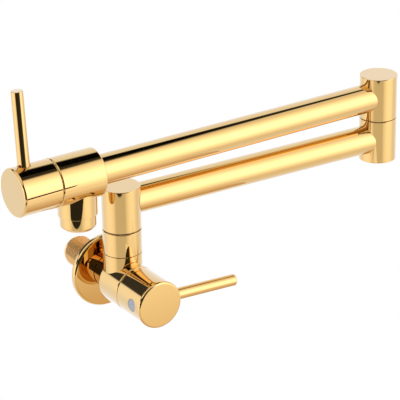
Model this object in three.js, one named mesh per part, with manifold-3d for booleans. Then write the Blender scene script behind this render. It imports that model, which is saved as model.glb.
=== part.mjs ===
// Wall mounted pot filler: a quarter-turn wall valve, a column that a folding two-part arm
// swings on, and a quarter-turn spout valve with its outlet at the arm's end.
// Millimetres, +Z up. The wall is the plane y = 0 and the tap stands out from it along -Y.
// The origin is the point where the inlet axis meets the wall.
import * as THREE from 'three';
import { mergeVertices } from 'three/addons/utils/BufferGeometryUtils.js';
import Module from 'manifold-3d';

const wasm = await Module();
wasm.setup();

// ---------------------------------------------------------------- driving dimensions

// Clearances
const seam = 0.25; // between pieces that are screwed, brazed or pressed together
const running = 0.3; // between a turning piece and what it turns in
const squeezed = 0.15; // round a rubber ring, drawn as it sits when squeezed, and between discs

// Layout of the arm
const columnOut = 31; // wall to column axis
const lowerArmHeight = 70.5; // inlet axis to lower arm axis
const armPitch = 38; // lower arm axis to upper arm axis
const armLength = 254.5; // column axis to elbow axis, and the upper arm's equal share
const outletPastColumn = 47.2; // how far the folded spout's outlet lies past the column
const lowerArmLean = 2.1; // degrees that the lower arm stands out from the wall's direction
const upperArmLean = 2.55; // degrees that the upper arm is short of folding flat above it

// Arm tubes and hubs
const tubeR = 12.5;
const tubeWall = 1.5;
const hubR = 16.2;
const hubWall = 5;
const hubEndWall = 5;
const hubEdge = 0.6;
const spigotLength = 8;
const spigotFit = 0.35; // between a hub's spigot and the bore of the tube
const waterR = 7.6; // waterway through the hubs' sides
const shoulderHubAbove = 14.5; // hub top above the lower arm axis
const shoulderHubBelow = 21.7; // hub bottom below the lower arm axis
const elbowHubBeyond = 19; // hub end beyond its arm's axis

// Swivels
const shoulderGap = 1.1; // open groove between collar and hub
const elbowGap = 0.5; // open groove between the elbow's hubs
const washerRecess = 0.6;
const washerSeatWall = 1.6;
const pivotWall = 4.2;
const pivotLand = 0.8; // bearing land between two grooves
const pivotFoot = 2.8; // land below the retaining groove
const pivotGrooveDepth = 1.6;
const pivotGrooveWidth = 2.1;
const elbowPivotDepth = 8; // depth screwed into the elbow's lower hub
const retainerR = 1.8;
const retainerPointR = 1;
const retainerSunk = 0.4;

// Valve barrels
const barrelR = 20;
const barrelEdge = 0.5;
const wallBarrelLength = 30.7; // mouth to back end
const wallBarrelBackEdge = 4;
const wallBranchBack = 21.3; // mouth to column axis
const stubTop = 27.5; // inlet axis to the top of the column stub
const spoutBarrelLength = 39.8;
const spoutBarrelBackEdge = 1.2;
const spoutBranchBack = 22.4; // mouth to outlet axis
const outletR = 16;
const outletLength = 31.5; // arm axis to the outlet stub's end
const mouthWall = 5.4; // barrel wall beside the cartridge nut
const mouthDepth = 6.5;
const chamberStep = 2.4;
const chamberDepth = 16;
const socketWall = 3.3; // between the cartridge chamber and the branch's bore
const portR = 2.9;
const portOffset = 5.4;
const waterwayR = 4.2;
const waterwayStart = 1.5; // beyond the barrel axis, clear of the inlet port

// Quarter-turn cartridge
const sealThickness = 1.4;
const fixedDiscThickness = 2.6;
const turningDiscThickness = 3.4;
const pocketDepth = 1.3;
const pocketWaist = 1.8; // half the width of the pocket between its round ends
const skirtWall = 1;
const drivePlate = 1.8;
const driveRim = 1; // how far the drive plate stays inside the disc's edge
const driveKeyWidth = 3;
const driveKeyDepth = 1;
const flangeThickness = 2;
const neckR = 7;
const neckTop = 7;
const stemR = 4;
const stemTop = 26.5;
const splineBottom = 12;
const splineTeeth = 12;
const splineDepth = 0.5;
const stemGrooveWidth = 2.2;
const stemGrooveDepth = 1.25;
const nutHead = 4;
const nutRoom = 0.9; // between the nut's corners and the cap

// Handles
const capLength = 34.5;
const capWall = 3.4;
const capFace = 4;
const capEdge = 0.8;
const bossR = 8.6;
const bossStart = 8.5;
const leverAt = 22.6; // barrel mouth to lever axis
const leverR = 5;
const leverReach = 80; // handle axis to the lever's tip
const wallLeverTip = 1.6; // rounding of the tip
const spoutLeverTip = 0.5;
const leverStudR = 3;
const leverStudWall = 1;
const grubR = 2.4;
const grubSunk = 0.4;
const plugThickness = 2.6;
const wallLeverDroop = 2.9; // degrees below level
const spoutLeverLean = 4.5; // degrees from upright, towards the wall

// Inlet and wall flange
const nippleR = 13.2;
const nippleBoreR = 7.5;
const nippleBehindWall = 44;
const nippleEdge = 1;
const nippleRootR = 10.5;
const nippleRoot = 2.6;
const nippleSealThickness = 0.8;
const flangeR = 31.8;
const flangeDepth = 6;
const flangeSheet = 1.4;
const flangeRound = 1.8;
const flangeDome = 0.6; // how far the face rises from its rim to its hole
const flangeSleeve = 2.4;
const flangeRingWidth = 1.8;
const gasketThickness = 1;
const gasketInset = 0.8;
const gasketWidth = 9;

// Aerator
const ringR = 14.7;
const ringHeight = 11.9;
const ringEdge = 2.5;
const ringThreadR = 13.1;
const ringThread = 7;
const ringWall = 1.7; // thread to bore
const ringLip = 1;
const ringLipHeight = 1.6;
const aeratorSeal = 1;
const aeratorSealWidth = 3;
const insertHeight = 9;
const insertWall = 1.2;
const insertStep = 0.9;
const insertRim = 1.8;
const insertPlate = 1.5;
const insertHoles = 8;
const insertHoleR = 1;
const meshThickness = 0.8;
const meshRings = 3;
const meshRib = 0.8;

// Facets round a circle
const fine = 24;
const medium = 18;
const coarse = 14;
const tiny = 10;

// ---------------------------------------------------------------- derived sizes

const hubBoreR = hubR - hubWall;
const pivotR = hubBoreR - running;
const pivotBoreR = pivotR - pivotWall;
const grooveR = pivotR - pivotGrooveDepth;
const retainerGroove = 2 * (retainerPointR + running);
const retainerHeight = pivotFoot + retainerGroove / 2;
const lowerRingAt = pivotFoot + retainerGroove + pivotLand;
const upperRingAt = lowerRingAt + pivotGrooveWidth + pivotLand;
const pivotTop = upperRingAt + pivotGrooveWidth + pivotLand;
const washerSeatR = hubR - washerSeatWall;

const tubeBoreR = tubeR - tubeWall;
const spigotR = tubeBoreR - spigotFit;

const hubBottomHeight = lowerArmHeight - shoulderHubBelow;
const collarTop = hubBottomHeight - shoulderGap;
const elbowHubInner = (armPitch - elbowGap) / 2; // arm axis to the face at the elbow's groove

const mouthR = barrelR - mouthWall;
const chamberR = mouthR - chamberStep;
const socketFloor = chamberR + socketWall;
const skirtR = chamberR - running;
const skirtBoreR = skirtR - skirtWall;
const discR = skirtBoreR - running;
const capBoreR = barrelR - capWall;

const wallMouthOut = columnOut + wallBranchBack;
const nippleShoulder = wallMouthOut - wallBarrelLength - seam;
const outletReach = armLength + outletPastColumn;
const spoutMouth = outletReach + spoutBranchBack;

const ringBoreR = ringThreadR - ringWall;
const ringSocketFloor = outletLength - ringThread - aeratorSeal - 2 * squeezed;

// Heights of the cartridge stack, from the chamber floor out to the stem
const sealBottom = -chamberDepth + squeezed;
const sealTop = sealBottom + sealThickness;
const fixedBottom = sealTop + squeezed;
const fixedTop = fixedBottom + fixedDiscThickness;
const turningBottom = fixedTop + squeezed;
const turningTop = turningBottom + turningDiscThickness;
const plateBottom = turningTop + squeezed;
const plateTop = plateBottom + drivePlate;
const flangeBottom = -mouthDepth + squeezed;
const flangeTop = flangeBottom + flangeThickness;
const stemRingAt = (flangeTop + neckTop) / 2;

// ---------------------------------------------------------------- materials

function finish(color, roughness, metalness) {
  return new THREE.MeshStandardMaterial({ color, roughness, metalness });
}

const gold = finish(0xe8be73, 0.08, 1);
const brass = finish(0xb99a5b, 0.35, 1);
const steel = finish(0xb4b6b8, 0.3, 1);
const ceramic = finish(0xf1efe9, 0.25, 0);
const rubber = finish(0x1e1e1e, 0.7, 0);
const acetal = finish(0xe7e4dc, 0.5, 0);
const greyPlastic = finish(0x9a9da3, 0.45, 0);
const plugBlue = finish(0x9ba8c8, 0.4, 0);

// ---------------------------------------------------------------- shape helpers

// Joins equal vertices and drops the empty triangles that a revolved outline has on its axis.
function welded(geometry) {
  geometry.deleteAttribute('normal');
  geometry.deleteAttribute('uv');
  const merged = mergeVertices(geometry, 1e-4);
  const corners = merged.index.array;
  const kept = [];
  for (let i = 0; i < corners.length; i += 3) {
    const [a, b, c] = [corners[i], corners[i + 1], corners[i + 2]];
    if (a !== b && b !== c && c !== a) kept.push(a, b, c);
  }
  merged.setIndex(kept);
  return merged;
}

// A closed outline of [radius, height] points, revolved about Z.
function turned(outline, segments) {
  const points = outline.map(([radius, height]) => new THREE.Vector2(radius, height));
  if (THREE.ShapeUtils.area(points) < 0) points.reverse();
  points.push(points[0].clone());
  const geometry = new THREE.LatheGeometry(points, segments);
  geometry.rotateX(Math.PI / 2);
  return welded(geometry);
}

// The arc of a rounded corner, a quarter turn on from startAngle in degrees.
function corner(centreR, centreZ, radius, startAngle, steps) {
  const points = [];
  for (let i = 0; i <= steps; i++) {
    const angle = THREE.MathUtils.degToRad(startAngle + (90 * i) / steps);
    points.push([centreR + radius * Math.cos(angle), centreZ + radius * Math.sin(angle)]);
  }
  return points;
}

function washer(innerR, outerR, from, to, segments) {
  return turned([[innerR, from], [outerR, from], [outerR, to], [innerR, to]], segments);
}

// A rubber ring as it sits in its groove: flat flanks, bulging inside and out.
function rubberRing(innerR, outerR, from, to, segments) {
  const bulge = (outerR - innerR) / 4;
  const middle = (from + to) / 2;
  return turned([
    [innerR + bulge, from],
    [outerR - bulge, from],
    [outerR, middle],
    [outerR - bulge, to],
    [innerR + bulge, to],
    [innerR, middle],
  ], segments);
}

function toSolid(geometry) {
  const mesh = new wasm.Mesh({
    numProp: 3,
    vertProperties: new Float32Array(geometry.attributes.position.array),
    triVerts: new Uint32Array(geometry.index.array),
  });
  return new wasm.Manifold(mesh);
}

function toGeometry(solid) {
  const mesh = solid.getMesh();
  const geometry = new THREE.BufferGeometry();
  geometry.setAttribute('position', new THREE.BufferAttribute(new Float32Array(mesh.vertProperties), 3));
  geometry.setIndex(new THREE.BufferAttribute(new Uint32Array(mesh.triVerts), 1));
  return geometry;
}

function turnedSolid(outline, segments) {
  return toSolid(turned(outline, segments));
}

// A plain bar along Z, and the same bar laid along X or Y.
function bar(radius, from, to, segments) {
  return turnedSolid([[0, from], [radius, from], [radius, to], [0, to]], segments);
}

function barAlongX(radius, from, to, segments) {
  return bar(radius, from, to, segments).rotate([0, 90, 0]);
}

function barAlongY(radius, from, to, segments) {
  return bar(radius, from, to, segments).rotate([-90, 0, 0]);
}

function block(x, y, z) {
  return toSolid(welded(new THREE.BoxGeometry(x, y, z)));
}

// A screw without a head, point first along Z, with a hexagon socket in its outer end.
function setScrew(pointR, bodyR, from, shoulder, to) {
  const socketR = bodyR * 0.55;
  const blank = turnedSolid([
    [0, from],
    [pointR, from],
    [pointR, shoulder],
    [bodyR, shoulder],
    [bodyR, to],
    [0, to],
  ], tiny);
  return blank.subtract(bar(socketR, to - 2 * socketR, to + 1, 6));
}

function part(name, geometry, material) {
  const mesh = new THREE.Mesh(geometry, material);
  mesh.name = name;
  return mesh;
}

// ---------------------------------------------------------------- valve bodies
// A valve's frame starts in the middle of its barrel's mouth. +Z runs out through the handle
// and +Y along the branch that the water leaves by.

function barrel(length, backEdge, backSteps) {
  return turnedSolid([
    [0, -length],
    ...corner(barrelR - backEdge, -length + backEdge, backEdge, -90, backSteps),
    [barrelR, -barrelEdge],
    [barrelR - barrelEdge, 0],
    [0, 0],
  ], fine);
}

// The stepped chamber for the cartridge, its two ports, and the way out to the branch.
function cutChamber(body, inletFloor, branchBack) {
  const chamber = turnedSolid([
    [0, -chamberDepth],
    [chamberR, -chamberDepth],
    [chamberR, -mouthDepth],
    [mouthR, -mouthDepth],
    [mouthR, 1],
    [0, 1],
  ], medium);
  const inletPort = bar(portR, inletFloor - 1, -chamberDepth + 1, tiny).translate([0, -portOffset, 0]);
  const outletPort = bar(portR, -branchBack, -chamberDepth + 1, tiny).translate([0, portOffset, 0]);
  const waterway = barAlongY(waterwayR, waterwayStart, socketFloor + 1, tiny);
  return body
    .subtract(chamber)
    .subtract(inletPort)
    .subtract(outletPort)
    .subtract(waterway.translate([0, 0, -branchBack]));
}

function wallValveBody() {
  const back = -wallBarrelLength;
  const shankFloor = back - seam + nippleRoot + nippleSealThickness + 2 * squeezed;
  const stub = barAlongY(hubR, 0, stubTop, fine).translate([0, 0, -wallBranchBack]);
  const pivotSocket = barAlongY(hubBoreR, socketFloor, stubTop + 1, medium);
  const shankRoom = bar(nippleR + seam, 2 * back, back, medium);
  const shankSocket = bar(nippleRootR + seam, back - 1, shankFloor, medium);
  const outside = barrel(wallBarrelLength, wallBarrelBackEdge, 3).add(stub).subtract(shankRoom);
  return toGeometry(cutChamber(outside, shankFloor, wallBranchBack)
    .subtract(pivotSocket.translate([0, 0, -wallBranchBack]))
    .subtract(shankSocket));
}

function spoutValveBody() {
  const back = -spoutBarrelLength;
  const tubeFloor = back + spigotLength;
  const bayFloor = tubeFloor + 2;
  const stub = barAlongY(outletR, 0, outletLength, fine).translate([0, 0, -spoutBranchBack]);
  const outletBore = barAlongY(ringBoreR - 2, socketFloor, outletLength, medium);
  const ringSocket = barAlongY(ringThreadR + seam, ringSocketFloor, outletLength + 1, fine);
  const outside = barrel(spoutBarrelLength, spoutBarrelBackEdge, 2).add(stub);
  return toGeometry(cutChamber(outside, bayFloor, spoutBranchBack)
    .subtract(bar(tubeR + seam, back - 1, tubeFloor, fine))
    .subtract(bar(tubeBoreR - 2, tubeFloor - 1, bayFloor, medium))
    .subtract(outletBore.translate([0, 0, -spoutBranchBack]))
    .subtract(ringSocket.translate([0, 0, -spoutBranchBack])));
}

// ---------------------------------------------------------------- quarter-turn cartridge

// A round plate with the two ports through it.
function portedDisc(radius, from, to, holeR) {
  const hole = bar(holeR, from - 1, to + 1, tiny);
  return toGeometry(bar(radius, from, to, coarse)
    .subtract(hole.translate([0, portOffset, 0]))
    .subtract(hole.translate([0, -portOffset, 0])));
}

// The pocket in the disc's under face lies across the ports while the valve is shut, and
// joins them after a quarter turn. The slot in its top face takes the stem's key.
function turningDisc() {
  const end = bar(portR, turningBottom - 1, turningBottom + pocketDepth, tiny);
  const waist = block(2 * portOffset, 2 * pocketWaist, 2 * pocketDepth).translate([0, 0, turningBottom]);
  const slot = block(3 * discR, driveKeyWidth + 2 * squeezed, 2 * (driveKeyDepth + squeezed));
  return toGeometry(bar(discR - squeezed, turningBottom, turningTop, coarse)
    .subtract(end.translate([portOffset, 0, 0]))
    .subtract(end.translate([-portOffset, 0, 0]))
    .subtract(waist)
    .subtract(slot.translate([0, 0, turningTop])));
}

function cartridgeBody() {
  const stemBoreR = stemR + running;
  return turned([
    [skirtBoreR, fixedBottom],
    [skirtR, fixedBottom],
    [skirtR, flangeBottom],
    [mouthR - running, flangeBottom],
    [mouthR - running, flangeTop],
    [neckR, flangeTop],
    [neckR, neckTop],
    [stemBoreR, neckTop],
    [stemBoreR, plateTop + squeezed],
    [skirtBoreR, plateTop + squeezed],
  ], coarse);
}

// The splined end of the stem: teeth all round, as an outline drawn out along Z.
function spline(from, to) {
  const outline = new THREE.Shape();
  for (let i = 0; i < 2 * splineTeeth; i++) {
    const angle = (Math.PI * i) / splineTeeth;
    const radius = i % 2 ? stemR : stemR - splineDepth;
    const tooth = [radius * Math.cos(angle), radius * Math.sin(angle)];
    if (i === 0) outline.moveTo(...tooth);
    else outline.lineTo(...tooth);
  }
  const teeth = new THREE.ExtrudeGeometry(outline, { depth: to - from, bevelEnabled: false });
  return toSolid(welded(teeth)).translate([0, 0, from]);
}

function stem() {
  const bottomR = stemR - stemGrooveDepth;
  const shaft = turnedSolid([
    [0, plateBottom],
    [discR - driveRim, plateBottom],
    [discR - driveRim, plateTop],
    [stemR, plateTop],
    [stemR, stemRingAt - stemGrooveWidth / 2],
    [bottomR, stemRingAt - stemGrooveWidth / 2],
    [bottomR, stemRingAt + stemGrooveWidth / 2],
    [stemR, stemRingAt + stemGrooveWidth / 2],
    [stemR, splineBottom],
    [0, splineBottom],
  ], coarse);
  const keyLength = 2 * (discR - 2 * driveRim);
  const key = block(keyLength, driveKeyWidth, 2 * driveKeyDepth).translate([0, 0, plateBottom]);
  return toGeometry(shaft.add(key).add(spline(splineBottom - driveKeyDepth, stemTop)));
}

function stemRing() {
  const half = stemGrooveWidth / 2 - squeezed;
  const innerR = stemR - stemGrooveDepth + squeezed;
  return rubberRing(innerR, stemR + running - squeezed, stemRingAt - half, stemRingAt + half, tiny);
}

function cartridgeNut() {
  const thread = bar(mouthR - seam, flangeTop + squeezed, 2 * seam, medium);
  const hexagon = bar(capBoreR - nutRoom, seam, seam + nutHead, 6);
  const bore = bar(neckR + seam, flangeTop - 1, nutHead + 1, coarse);
  return toGeometry(thread.add(hexagon).subtract(bore));
}

function cartridge(prefix) {
  const set = new THREE.Group();
  const sealHoleR = portR + squeezed;
  set.add(part(`${prefix}_port_seal`, portedDisc(skirtR - squeezed, sealBottom, sealTop, sealHoleR), rubber));
  set.add(part(`${prefix}_fixed_disc`, portedDisc(discR - squeezed, fixedBottom, fixedTop, portR), ceramic));
  set.add(part(`${prefix}_turning_disc`, turningDisc(), ceramic));
  set.add(part(`${prefix}_cartridge_body`, cartridgeBody(), brass));
  set.add(part(`${prefix}_stem`, stem(), brass));
  set.add(part(`${prefix}_stem_o_ring`, stemRing(), rubber));
  set.add(part(`${prefix}_cartridge_nut`, cartridgeNut(), brass));
  return set;
}

// ---------------------------------------------------------------- handle
// A handle's frame is its valve's, turned about Z until the lever points along +X.

function handleCap() {
  const stemBoreR = stemR + seam;
  const shell = turnedSolid([
    [0, stemTop + 1],
    [stemBoreR, stemTop + 1],
    [stemBoreR, bossStart],
    [bossR, bossStart],
    [bossR, capLength - capFace],
    [capBoreR, capLength - capFace],
    [capBoreR, seam],
    [barrelR - barrelEdge, seam],
    [barrelR, seam + barrelEdge],
    ...corner(barrelR - capEdge, capLength - capEdge, capEdge, 0, 2),
    [0, capLength],
  ], fine);
  const sideHole = barAlongX(leverR + seam, capBoreR - 1, barrelR + 1, medium);
  const studHole = barAlongX(leverStudR + seam, stemBoreR + leverStudWall, bossR + 1, tiny);
  const grubHole = barAlongX(grubR + seam, -bossR - 1, 0, tiny);
  const plugHole = sideHole.rotate([0, 0, 180]);
  const holes = sideHole.add(plugHole).add(studHole).add(grubHole);
  return toGeometry(shell.subtract(holes.translate([0, 0, leverAt])));
}

function lever(tip) {
  const studEnd = stemR + 2 * seam + leverStudWall;
  const shoulder = bossR + seam;
  const rod = turnedSolid([
    [0, studEnd],
    [leverStudR, studEnd],
    [leverStudR, shoulder],
    [leverR, shoulder],
    ...corner(leverR - tip, leverReach - tip, tip, 0, 3),
    [0, leverReach],
  ], medium);
  return toGeometry(rod.rotate([0, 90, 0]).translate([0, 0, leverAt]));
}

function grubScrew() {
  const screw = setScrew(grubR * 0.7, grubR, stemR + seam, stemR + 4 * seam, bossR - grubSunk);
  return toGeometry(screw.rotate([0, -90, 0]).translate([0, 0, leverAt]));
}

// The plug fills the hole over the grub screw and follows the cap's round side.
function indexPlug() {
  const side = bar(barrelR, leverAt - 2 * leverR, leverAt + 2 * leverR, fine);
  const disc = barAlongX(leverR, -barrelR - 1, plugThickness - barrelR, medium);
  return toGeometry(disc.translate([0, 0, leverAt]).intersect(side));
}

function handle(prefix, tip, turn) {
  const set = new THREE.Group();
  set.rotation.z = THREE.MathUtils.degToRad(turn);
  set.add(part(`${prefix}_handle_cap`, handleCap(), gold));
  set.add(part(`${prefix}_lever`, lever(tip), gold));
  set.add(part(`${prefix}_handle_grub_screw`, grubScrew(), steel));
  set.add(part(`${prefix}_index_plug`, indexPlug(), plugBlue));
  return set;
}

// ---------------------------------------------------------------- wall fitting
// The wall fitting's frame has +Z straight out of the wall.

function wallFlange() {
  const back = gasketThickness + seam;
  const rimFront = flangeDepth - flangeDome;
  const seatR = nippleR + flangeRingWidth;
  const underside = flangeDepth - flangeSheet;
  return turned([
    [flangeR - flangeSheet, back],
    [flangeR, back],
    ...corner(flangeR - flangeRound, rimFront - flangeRound, flangeRound, 0, 3),
    [nippleR + running, flangeDepth],
    [nippleR + running, underside],
    [seatR, underside],
    [seatR, underside - flangeSleeve],
    [seatR + flangeSheet, underside - flangeSleeve],
    [seatR + flangeSheet, underside],
    [flangeR - flangeSheet, rimFront - flangeSheet],
  ], fine);
}

function flangeRing() {
  const top = flangeDepth - flangeSheet - squeezed;
  const innerR = nippleR + squeezed;
  const outerR = nippleR + flangeRingWidth - 2 * squeezed;
  return rubberRing(innerR, outerR, top - flangeRingWidth, top, medium);
}

function inletNipple() {
  return turned([
    [nippleBoreR, -nippleBehindWall],
    [nippleR - nippleEdge, -nippleBehindWall],
    [nippleR, -nippleBehindWall + nippleEdge],
    [nippleR, nippleShoulder],
    [nippleRootR, nippleShoulder],
    [nippleRootR, nippleShoulder + nippleRoot],
    [nippleBoreR, nippleShoulder + nippleRoot],
  ], medium);
}

function wallFitting() {
  const set = new THREE.Group();
  const gasketR = flangeR - gasketInset;
  const sealFrom = nippleShoulder + nippleRoot + squeezed;
  const nippleSeal = washer(nippleBoreR, nippleRootR, sealFrom, sealFrom + nippleSealThickness, coarse);
  set.add(part('wall_flange', wallFlange(), gold));
  set.add(part('flange_gasket', washer(gasketR - gasketWidth, gasketR, 0, gasketThickness, medium), rubber));
  set.add(part('flange_o_ring', flangeRing(), rubber));
  set.add(part('inlet_nipple', inletNipple(), gold));
  set.add(part('nipple_seal', nippleSeal, rubber));
  set.rotation.x = Math.PI / 2;
  return set;
}

// ---------------------------------------------------------------- swivels
// A swivel's frame starts on the column axis, at the face that the turning hub stands over.

function pivot(depth) {
  return turned([
    [pivotBoreR, -depth],
    [pivotR, -depth],
    [pivotR, pivotFoot],
    [grooveR, pivotFoot],
    [grooveR, pivotFoot + retainerGroove],
    [pivotR, pivotFoot + retainerGroove],
    [pivotR, lowerRingAt],
    [grooveR, lowerRingAt],
    [grooveR, lowerRingAt + pivotGrooveWidth],
    [pivotR, lowerRingAt + pivotGrooveWidth],
    [pivotR, upperRingAt],
    [grooveR, upperRingAt],
    [grooveR, upperRingAt + pivotGrooveWidth],
    [pivotR, upperRingAt + pivotGrooveWidth],
    [pivotR, pivotTop],
    [pivotBoreR, pivotTop],
  ], medium);
}

function pivotRing(grooveBottom) {
  const from = grooveBottom + squeezed;
  const to = grooveBottom + pivotGrooveWidth - squeezed;
  return rubberRing(grooveR + squeezed, hubBoreR - running, from, to, medium);
}

function swivel(prefix, depth, gap) {
  const set = new THREE.Group();
  const washerTop = gap + washerRecess - running;
  const slipWasher = washer(pivotR + running, washerSeatR - running, running, washerTop, medium);
  set.add(part(`${prefix}_pivot`, pivot(depth), brass));
  set.add(part(`${prefix}_lower_o_ring`, pivotRing(lowerRingAt), rubber));
  set.add(part(`${prefix}_upper_o_ring`, pivotRing(upperRingAt), rubber));
  set.add(part(`${prefix}_slip_washer`, slipWasher, acetal));
  return set;
}

function collar() {
  const from = stubTop + seam;
  return turned([
    [hubBoreR, from],
    [hubR - hubEdge, from],
    [hubR, from + hubEdge],
    [hubR, collarTop - hubEdge],
    [hubR - hubEdge, collarTop],
    [hubBoreR, collarTop],
  ], fine);
}

// ---------------------------------------------------------------- arms
// An arm's frame starts where its axis meets its hub's, with +X along the arm and +Z up.

function hub(bottom, top, boreFrom, boreTo) {
  const cylinder = turnedSolid([
    [0, bottom],
    [hubR - hubEdge, bottom],
    [hubR, bottom + hubEdge],
    [hubR, top - hubEdge],
    [hubR - hubEdge, top],
    [0, top],
  ], fine);
  return cylinder
    .add(barAlongX(spigotR, 0, hubR + spigotLength, medium))
    .subtract(bar(hubBoreR, boreFrom, boreTo, medium))
    .subtract(barAlongX(waterR, 0, hubR + spigotLength + 1, coarse));
}

// A hub that turns on a pivot, with the washer's recess in its foot and a hole through its
// wall for the screw that runs in the pivot's groove.
function turningHub(bottom, gap, top, screwSide) {
  const recess = bar(washerSeatR, bottom - 1, bottom + washerRecess, medium);
  const screwHole = bar(retainerR + seam, grooveR, hubR + 1, tiny).rotate([-90 * screwSide, 0, 0]);
  return toGeometry(hub(bottom, top, bottom - 1, top - hubEndWall)
    .subtract(recess)
    .subtract(screwHole.translate([0, 0, bottom - gap + retainerHeight])));
}

function retainingScrew(bottom, gap, screwSide) {
  const shoulder = hubBoreR + seam;
  const screw = setScrew(retainerPointR, retainerR, grooveR + running, shoulder, hubR - retainerSunk);
  return toGeometry(screw
    .rotate([-90 * screwSide, 0, 0])
    .translate([0, 0, bottom - gap + retainerHeight]));
}

// A plain tube, with its ends cut to fit round the hubs that it meets.
function armTube(to, hubsAt) {
  let tube = barAlongX(tubeR, 0, to, fine).subtract(barAlongX(tubeBoreR, -1, to + 1, medium));
  for (const x of hubsAt) {
    tube = tube.subtract(bar(hubR + seam, -2 * tubeR, 2 * tubeR, fine).translate([x, 0, 0]));
  }
  return toGeometry(tube);
}

// ---------------------------------------------------------------- aerator
// The aerator's frame starts on the upper arm's axis, with +Z down along the flow.

function aeratorRing() {
  const end = outletLength + ringHeight;
  return turned([
    [ringBoreR, outletLength - ringThread],
    [ringThreadR, outletLength - ringThread],
    [ringThreadR, outletLength + seam],
    [ringR, outletLength + seam],
    [ringR, end - ringEdge],
    [ringR - ringEdge, end],
    [ringBoreR - ringLip, end],
    [ringBoreR - ringLip, end - ringLipHeight],
    [ringBoreR, end - ringLipHeight],
  ], fine);
}

// The insert rests on the ring's lip. Its floor has a ring of round holes near the rim.
function aeratorInsert() {
  const end = outletLength + ringHeight - ringLipHeight - seam;
  const start = end - insertHeight;
  const rimR = ringBoreR - running;
  const bodyR = rimR - insertStep;
  const cup = turnedSolid([
    [0, end],
    [rimR, end],
    [rimR, end - insertRim],
    [bodyR, end - insertRim],
    [bodyR, start],
    [bodyR - insertWall, start],
    [bodyR - insertWall, end - insertPlate],
    [0, end - insertPlate],
  ], medium);
  const hole = bar(insertHoleR, start, end + 1, 6).translate([bodyR - insertWall - 2 * insertHoleR, 0, 0]);
  let insert = cup;
  for (let i = 0; i < insertHoles; i++) {
    insert = insert.subtract(hole.rotate([0, 0, (360 * i) / insertHoles]));
  }
  return toGeometry(insert);
}

// A coarse strainer of rings and two crossed ribs, on top of the insert.
function aeratorMesh() {
  const top = outletLength + ringHeight - ringLipHeight - insertHeight - 2 * seam;
  const bottom = top - meshThickness;
  const rimR = ringBoreR - running;
  const rib = block(2 * rimR - meshRib, meshRib, meshThickness).translate([0, 0, (top + bottom) / 2]);
  let mesh = rib.add(rib.rotate([0, 0, 90]));
  for (let i = 1; i <= meshRings; i++) {
    const outerR = (rimR * i) / meshRings;
    mesh = mesh.add(toSolid(washer(outerR - 2 * meshRib, outerR, bottom, top, tiny)));
  }
  return toGeometry(mesh);
}

function aerator() {
  const set = new THREE.Group();
  const sealFrom = ringSocketFloor + squeezed;
  const sealR = ringThreadR - squeezed;
  const seal = washer(sealR - aeratorSealWidth, sealR, sealFrom, sealFrom + aeratorSeal, medium);
  set.add(part('aerator_ring', aeratorRing(), gold));
  set.add(part('aerator_insert', aeratorInsert(), greyPlastic));
  set.add(part('aerator_mesh', aeratorMesh(), steel));
  set.add(part('aerator_washer', seal, rubber));
  set.rotation.x = Math.PI;
  return set;
}

// ---------------------------------------------------------------- assembly

function wallValve() {
  const set = new THREE.Group();
  set.add(part('wall_valve_body', wallValveBody(), gold));
  set.add(cartridge('wall'));
  set.add(handle('wall', wallLeverTip, -wallLeverDroop));
  set.position.set(0, -wallMouthOut, 0);
  set.rotation.x = Math.PI / 2;
  return set;
}

function shoulder() {
  const set = new THREE.Group();
  const joint = swivel('shoulder', collarTop - socketFloor - seam, shoulderGap);
  joint.position.z = collarTop;
  set.add(part('shoulder_collar', collar(), gold));
  set.add(joint);
  set.position.y = -columnOut;
  return set;
}

function spoutValve() {
  const set = new THREE.Group();
  const axes = [new THREE.Vector3(0, -1, 0), new THREE.Vector3(0, 0, -1), new THREE.Vector3(1, 0, 0)];
  set.add(part('spout_valve_body', spoutValveBody(), gold));
  set.add(cartridge('spout'));
  set.add(handle('spout', spoutLeverTip, spoutLeverLean - 90));
  set.quaternion.setFromRotationMatrix(new THREE.Matrix4().makeBasis(...axes));
  set.position.x = spoutMouth;
  return set;
}

function upperArm() {
  const set = new THREE.Group();
  const bottom = -elbowHubInner;
  const tubeEnd = spoutMouth - spoutBarrelLength + spigotLength - seam;
  const outlet = aerator();
  outlet.position.x = outletReach;
  set.add(part('elbow_upper_hub', turningHub(bottom, elbowGap, elbowHubBeyond, -1), gold));
  set.add(part('elbow_retaining_screw', retainingScrew(bottom, elbowGap, -1), steel));
  set.add(part('upper_arm_tube', armTube(tubeEnd, [0]), gold));
  set.add(spoutValve(), outlet);
  return set;
}

function lowerArm() {
  const set = new THREE.Group();
  const bottom = -shoulderHubBelow;
  const lowerHub = hub(-elbowHubBeyond, elbowHubInner, hubEndWall - elbowHubBeyond, elbowHubInner + 1);
  const elbowHub = part('elbow_lower_hub', toGeometry(lowerHub), gold);
  elbowHub.position.x = armLength;
  elbowHub.rotation.z = Math.PI;
  const joint = swivel('elbow', elbowPivotDepth, elbowGap);
  joint.position.set(armLength, 0, elbowHubInner);
  const upper = upperArm();
  upper.position.set(armLength, 0, armPitch);
  upper.rotation.z = Math.PI + THREE.MathUtils.degToRad(upperArmLean);
  set.add(part('lower_arm_hub', turningHub(bottom, shoulderGap, shoulderHubAbove, 1), gold));
  set.add(part('shoulder_retaining_screw', retainingScrew(bottom, shoulderGap, 1), steel));
  set.add(part('lower_arm_tube', armTube(armLength, [0, armLength]), gold));
  set.add(elbowHub, joint, upper);
  set.position.set(0, -columnOut, lowerArmHeight);
  set.rotation.z = -THREE.MathUtils.degToRad(lowerArmLean);
  return set;
}

const potFiller = new THREE.Group();
potFiller.add(wallFitting(), wallValve(), shoulder(), lowerArm());

export default potFiller;
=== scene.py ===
# Wall mounted pot filler in mirror-polished gold: a wall valve, a column, a folding two-part
# arm and a spout valve. The numbers below are millimetres; mm turns them into metres.
from math import cos, pi, radians, sin

import bmesh
import bpy
from mathutils import Matrix, Vector


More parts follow.
